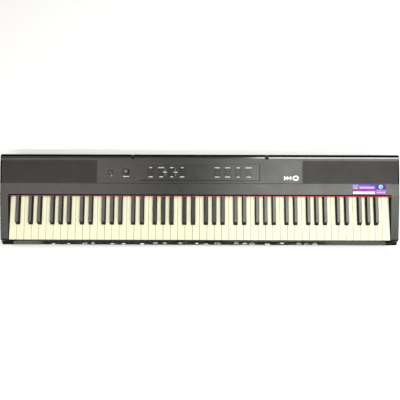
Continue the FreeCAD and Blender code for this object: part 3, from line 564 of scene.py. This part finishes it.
def rear_edge_painted_shade():
    """Near-black strip round the rear roll: painted shade standing in for the dark edge along the rear."""
    data = bmesh.new()
    outline = (arc(roll_y, roll_z, roll_radius + 0.28, 92, 0)
               + arc(roll_y, roll_z, roll_radius - 0.3, 0, 92))
    for start, end in rear_runs(half_length - 1.2):
        sweep(data, outline, start, end)
    piece("rear_edge_painted_shade", data, painted_shade_black, in_place)


def rear_rim():
    """Glossy bevelled rim just in front of the rear edge."""
    data = bmesh.new()
    outline = [(roll_u - 5.3, -0.2), (roll_u - 5.3, 0.44), (roll_u - 5.0, 0.56), (roll_u - 1.2, 0.06),
               (roll_u - 1.0, 0.0), (roll_u - 1.0, -0.2)]
    for start, end in rear_runs(half_length - 2.6):
        sweep(data, outline, start, end, slices=6)
    piece("rear_rim", data, rim_gloss)


def grille_end_strips():
    """Near-black strips over the rounded ends of the case along the grille bands: painted shade on the ends.
    """
    cx = half_length - end_radius
    cz = -end_radius
    outline = ([(half_length - 5.2, -1.2), (half_length - 5.2, -0.35), (half_length - 4.4, 0.16)]
               + arc(cx, cz, end_radius + 0.18, 90, 0, 6)
               + [(half_length + 0.18, -7.0), (half_length - 0.3, -7.0)]
               + arc(cx, cz, end_radius - 0.3, 0, 90, 6)
               + [(half_length - 4.2, -0.3), (half_length - 4.6, -1.2)])
    for side, name in sides:
        data = bmesh.new()
        profile = [(side * x, z) for x, z in outline]
        sweep(data, profile, grille_front - 0.8, grille_rear + 0.8, axis="y")
        piece(name + "_grille_end_shade", data, painted_shade_black)


def lip_strip():
    """Near-black strip over the front edge of the panel: painted shade along the lip."""
    data = bmesh.new()
    outline = [(2.4, -0.3), (2.4, 0.06), (2.0, 0.2), (0.6, 0.16), (-0.8, -0.3), (-1.6, -1.0),
               (-1.75, -2.4), (-1.2, -2.6), (0.4, -2.6), (0.5, -1.2), (1.0, -0.4)]
    sweep(data, outline, -felt_half - 0.4, felt_half + 0.4, slices=8)
    piece("lip_painted_shade", data, painted_shade_black)


def felt_strip():
    """Red felt tucked under the lip, with a slightly ragged front and top."""
    rng = random.Random(4)
    data = bmesh.new()
    steps = 260
    loops = []
    for n in range(steps + 1):
        x = -felt_half + 2 * felt_half * n / steps
        front = lip_y - 3.1 + rng.uniform(-0.16, 0.16)
        top = 77.2 + rng.uniform(-0.15, 0.15)
        profile = [(lip_y + 0.4, 75.2), (front + 0.5, 75.1), (front, 75.5), (front, top - 0.5),
                   (front + 0.5, top), (lip_y + 0.4, top + 0.1)]
        loops.append([data.verts.new((x, y, z)) for y, z in profile])
    skin(data, loops)
    strip = piece("felt_strip", data, materials["red_felt"], in_place, smooth=True)
    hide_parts("red_felt_strip")


# ---- Lines on the panel --------------------------------------------------

column_x = (55.8, 89.4, 123.0, 156.6)
column_pitch = column_x[1] - column_x[0]


def panel_lines():
    """A raised bead along the front of the grilles, a bevelled frame round the control plate, and painted
    shade in the gap round it.
    """
    plate = panel_box("control_panel")
    beads = bmesh.new()
    sweep(beads, [(37.0, -0.2), (37.0, 0.02), (37.5, 0.3), (38.0, 0.3), (38.8, 0.02), (38.8, -0.2)],
          -grille_inner + 1.6, grille_inner - 1.6, slices=8)
    add_frame(beads, plate, (2.4, 2.4), width=1.9, radius=5.0, base=-0.2, level=0.32, inner_level=0.02)
    piece("panel_beads", beads, materials["panel"])
    # A near-black frame in the gap round the control plate: painted shade in the gap.
    gap = bmesh.new()
    add_frame(gap, plate, (0.7, 0.7), width=0.7, radius=3.4, base=-1.0, level=-0.3)
    piece("control_plate_gap_shade", gap, painted_shade_black)


def button_gap_shade():
    """Near-black frames in the gaps round the buttons and the power button: painted shade in the gaps."""
    data = bmesh.new()
    for name in ("left_rear_buttons", "left_front_buttons", "right_rear_buttons", "right_front_buttons"):
        x0, x1, u0, u1 = panel_box(name)
        half_width = (abs(abs(x1) - abs(x0)) - 3 * column_pitch) / 2
        for x in column_x:
            centre = math.copysign(x, x0)
            add_frame(data, (centre - half_width, centre + half_width, u0, u1), (0.75, 0.5), width=0.7,
                      radius=2.2, base=-0.8, level=-0.32)
    add_frame(data, panel_box("power_button"), (1.3, 1.1), width=0.9, radius=3.2, base=-0.02, level=0.05)
    piece("button_gap_shade", data, painted_shade_black)


# ---- Printed marks -------------------------------------------------------

facing_top = -0.4
print_depth = 0.02
print_thickness = 0.06
legend_height = 2.5


def add_legend(data, x, u, width, height, rng, level=facing_top):
    """A row of short dashes, as wide as a printed legend."""
    for start, end in dashes(x, width, rng, (1.1, 2.3), gap=0.34, least=0.7, clip=True):
        tall = height * rng.uniform(0.82, 1.0)
        corner = min(0.3, (end - start) / 3)
        outline = rounded_outline(start, end, u - tall / 2, u + tall / 2, corner, 2)
        add_tablet(data, outline, level - print_depth, level + print_thickness)


def legends():
    """Legends behind and in front of the buttons, and between two of the rows with a tick at each end."""
    rng = random.Random(11)
    data = bmesh.new()
    centres = [-x for x in column_x[::-1]] + list(column_x)
    rear_widths = (8, 19, 10, 8, 15, 16, 9, 20)
    front_widths = (14, 13, 9, 14, 15, 16, 9, 14)
    for x, rear_width, front_width in zip(centres, rear_widths, front_widths):
        add_legend(data, x, 88.0, rear_width, legend_height, rng)
        add_legend(data, x, 58.6, front_width, legend_height, rng)
    for x in (-111.2, -77.6):
        add_legend(data, x, 73.6, 12, legend_height, rng)
        for low, high in ((61.8, 70.4), (76.8, 85.0)):
            add_block(data, x - 0.22, x + 0.22, low, high, facing_top - print_depth,
                      facing_top + print_thickness)
    piece("button_legends", data, white_ink)


def knob_and_power_marks():
    """The knob's legend and its scale of dots, and a power symbol."""
    rng = random.Random(5)
    data = bmesh.new()
    add_legend(data, knob_x + 1.0, 59.6, 19, 2.4, rng, 0.0)
    power_x, power_u = -281.5, 62.0
    inner = arc(power_x, power_u, 1.5, 118, 422, 28)
    outer = arc(power_x, power_u, 2.2, 118, 422, 28)
    for n in range(28):
        add_tablet(data, (inner[n], outer[n], outer[n + 1], inner[n + 1]), -print_depth, print_thickness)
    add_block(data, power_x - 0.35, power_x + 0.35, power_u + 0.4, power_u + 2.6, -print_depth,
              print_thickness)
    for cx, cu in arc(knob_x, knob_u, 12.6, -50, 230, 10):
        add_tablet(data, circle_outline(cx, cu, 0.3, 10), -print_depth, 0.03)
    piece("knob_and_power_marks", data, white_ink)


def knob_dish():
    """Turned metal disc let into the top of the knob."""
    data = bmesh.new()
    profile = [(0.4, 11.62), (2.0, 11.66), (4.6, 11.74), (5.6, 11.98), (6.2, 12.02), (6.4, 11.7), (6.4, 11.3)]
    skin(data, [[data.verts.new((x, y, height)) for x, y in circle_outline(0.0, 0.0, radius, 64)]
                for radius, height in profile])
    m = Material("turned_disc", (0.10, 0.10, 0.105, 1.0), 0.20, Metallic=1.0, Anisotropic=0.97)
    m.gloss(m.noise(900.0, 3.0), 0.17, 0.23)
    m.mottle(m.noise(1200.0, 3.0), (0.08, 0.08, 0.085, 1.0), (0.13, 0.13, 0.135, 1.0))
    m.bump(m.noise(1800.0, 2.0), 0.000004)
    tangent = m.add("ShaderNodeTangent", direction_type="RADIAL", axis="Z")
    m.link(tangent.outputs["Tangent"], m.shader.inputs["Tangent"])
    disc = piece("knob_disc", data, m.material, in_place, "volume_knob", smooth=True)
    disc.matrix_world = Matrix.Translation(knob_foot) @ Matrix.Rotation(panel_slope, 4, "X")


def sticker():
    """Printed label: flat colour fields with a few dashes, no lettering."""
    left, right, front, rear = panel_box("sticker")
    colours = [(96, 44, 132), (72, 48, 176), (150, 132, 214), (176, 164, 52), (168, 126, 196),
               (140, 30, 140), (236, 228, 240), (184, 112, 196), (160, 214, 226), (48, 34, 120),
               (214, 178, 214), (90, 170, 206)]
    finishes = [polished("label_%d" % n, srgb(*colour), 0.3, spread=0.06, Specular_IOR_Level=0.2)
                for n, colour in enumerate(colours)]
    top = 0.2
    sunk = top - 0.01
    data = bmesh.new()
    add_tablet(data, rounded_outline(left, right, front, rear, 1.5), 0.0, top, 0)
    # Fields: both ends along the label, both up the label, and the number of the colour.
    fields = [(0.5, 108.5, 16.0, 32.0, 1), (1.5, 20.0, 25.5, 31.5, 2), (2.0, 19.0, 17.2, 25.0, 3),
              (22.0, 72.0, 17.6, 26.2, 4), (2.5, 73.0, 9.8, 14.6, 5), (2.5, 73.0, 1.6, 9.4, 6),
              (75.5, 107.5, 1.6, 14.8, 7), (77.0, 106.5, 16.8, 31.6, 9)]
    for n, (x0, x1, v0, v1, finish) in enumerate(fields, 1):
        outline = rounded_outline(left + x0, left + x1, front + v0, front + v1, 0.8, 3)
        add_tablet(data, outline, sunk, top + 0.004 * n, finish)
    add_tablet(data, circle_outline(left + 91.5, front + 24.2, 6.9), sunk, top + 0.045, 8)
    add_tablet(data, circle_outline(left + 93.0, front + 22.8, 4.2), sunk, top + 0.05, 11)
    # Rows of dashes: the middle along and up the label, width, height, and the number of the colour.
    rows = [(47.0, 21.9, 46, 4.6, 10), (38.0, 29.0, 30, 1.6, 2), (91.0, 11.0, 26, 1.6, 5),
            (91.0, 6.4, 22, 1.4, 6), (38.0, 5.4, 58, 1.4, 7), (60.0, 12.2, 22, 1.2, 7)]
    rng = random.Random(21)
    for x, v, wide, tall, finish in rows:
        for start, end in dashes(x, wide, rng, (1.2, 3.4), gap=0.7, least=1.0):
            outline = rounded_outline(left + start, left + end, front + v - tall / 2,
                                      front + v + tall / 2, 0.35, 2)
            add_tablet(data, outline, sunk, top + 0.055, finish)
    label = piece("printed_label", data, finishes)
    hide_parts("sticker")


# ---- Rear of the case ----------------------------------------------------

rear_y = cad_box[1].y / mm


def socket_fittings():
    """Nuts and washers round the rear sockets, and their printed symbols."""
    nuts = bmesh.new()
    for name in ("phones_socket", "pedal_socket"):
        x, _, z = mounts[name]
        ring(nuts, (x, z), 4.55, 6.9, rear_y, rear_y + 1.6, outer_sides=6)
        ring(nuts, (x, z), 3.5, 4.5, rear_y - 0.5, rear_y + 2.4)
    x, _, z = mounts["dc_inlet"]
    ring(nuts, (x, z), 3.2, 4.4, rear_y - 0.5, rear_y + 0.8)
    piece("socket_nuts", nuts, nickel, in_place)
    marks = bmesh.new()
    rng = random.Random(8)
    for name, wide in (("phones_socket", 12), ("pedal_socket", 14), ("usb_port", 8), ("dc_inlet", 12)):
        for start, end in dashes(mounts[name][0], wide, rng, (1.0, 2.2), gap=0.4, least=0.8):
            add_block(marks, start, end, rear_y - 0.05, rear_y + 0.06, 60.2, 62.0)
    piece("socket_marks", marks, white_ink, in_place)


# ---- Front rail ----------------------------------------------------------

def rail_cover():
    """Glossy cover of the rail: it leans a little to the front, and shallow dimples break up its shine."""
    low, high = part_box("front_rail")
    rear, front, top = high.y / mm - 0.3, low.y / mm + 1.0, high.z / mm
    reach = high.x / mm - 0.4
    rng = random.Random(31)
    dimples = []
    at = -470.0
    while at < 410.0:
        dimples.append((at, rng.uniform(0.35, 0.7), rng.uniform(0.10, 0.26), rng.uniform(4.0, 8.0)))
        at += rng.uniform(20.0, 62.0)

    def surface(x, across):
        z = top + 0.12 + 1.15 * across
        for centre, middle, height, spread in dimples:
            if abs(x - centre) < 3 * spread:
                z += height * math.exp(-((x - centre) / spread) ** 2 - ((across - middle) / 0.24) ** 2)
        return z

    data = bmesh.new()
    columns, rows = int(2 * reach / 1.5), 10
    loops = []
    for n in range(columns + 1):
        x = -reach + 2 * reach * n / columns
        profile = [(front + (rear - front) * m / rows, surface(x, m / rows)) for m in range(rows + 1)]
        profile += [(rear, top - 0.4), (front, top - 0.4)]
        loops.append([data.verts.new((x, y, z)) for y, z in profile])
    skin(data, loops)
    cover = piece("rail_cover", data, materials["rail"], in_place, smooth=True)
    cover.data.set_sharp_from_angle(angle=math.radians(40))


# ---- Floor and light -----------------------------------------------------

def floor():
    """A plain sheet of white paper, larger than any view."""
    mesh = bpy.data.meshes.new("floor")
    reach = 6.0
    corners = [(-reach, -reach, 0.0), (reach, -reach, 0.0), (reach, reach, 0.0), (-reach, reach, 0.0)]
    mesh.from_pydata(corners, [], [(0, 1, 2, 3)])
    sheet = bpy.data.objects.new("floor", mesh)
    scene.collection.objects.link(sheet)
    m = Material("floor_paper", (0.96, 0.96, 0.97, 1.0), 0.8)
    m.mottle(m.noise(1.5, 2.0), (0.955, 0.955, 0.965, 1.0), (0.965, 0.965, 0.975, 1.0))
    mesh.materials.append(m.material)


def softbox(name, x0, x1, y0, y1, height, radiance, colour=(1.0, 1.0, 1.0)):
    """A flat light facing straight down, given by the brightness seen in a mirror below it."""
    data = bpy.data.lights.new(name, "AREA")
    data.shape = "RECTANGLE"
    data.size = x1 - x0
    data.size_y = y1 - y0
    data.energy = radiance * math.pi * data.size * data.size_y
    data.color = colour
    light = bpy.data.objects.new(name, data)
    scene.collection.objects.link(light)
    light.location = ((x0 + x1) / 2, (y0 + y1) / 2, height)


def studio():
    """Softboxes overhead, each of them the reflection in one part of the dark panel."""
    world = bpy.data.worlds.new("studio")
    world.use_nodes = True
    world.node_tree.nodes["Background"].inputs["Color"].default_value = (1.0, 1.0, 1.0, 1.0)
    world.node_tree.nodes["Background"].inputs["Strength"].default_value = 0.13
    scene.world = world
    height = 2.5
    softbox("left_softbox", -2.5, -0.5, -0.55, 0.60, height, 3.1, (1.0, 0.94, 0.85))
    softbox("middle_softbox", -0.5, 0.25, -0.55, 0.60, height, 0.35, (1.0, 1.0, 0.92))
    softbox("right_softbox", 0.25, 2.4, -0.50, 0.55, height, 6.8, (0.98, 1.0, 0.95))
    softbox("rear_right_softbox", 0.5, 2.3, 0.85, 1.5, height, 5.0)
    softbox("left_wing", -2.5, -1.5, -0.95, -0.55, height, 2.8, (1.0, 0.94, 0.84))
    softbox("right_wing", 1.2, 2.5, -0.95, -0.55, height, 2.4, (1.0, 0.99, 0.92))
    softbox("front_softbox", -1.8, 1.8, -2.5, -1.4, height, 0.4)
    softbox("strip_light", -1.5, 1.2, -0.92, -0.83, height, 34.0)


grilles()
grille_gaps()
rear_edge_painted_shade()
rear_rim()
grille_end_strips()
lip_strip()
felt_strip()
panel_lines()
button_gap_shade()
legends()
knob_and_power_marks()
knob_dish()
sticker()
socket_fittings()
rail_cover()
floor()
studio()
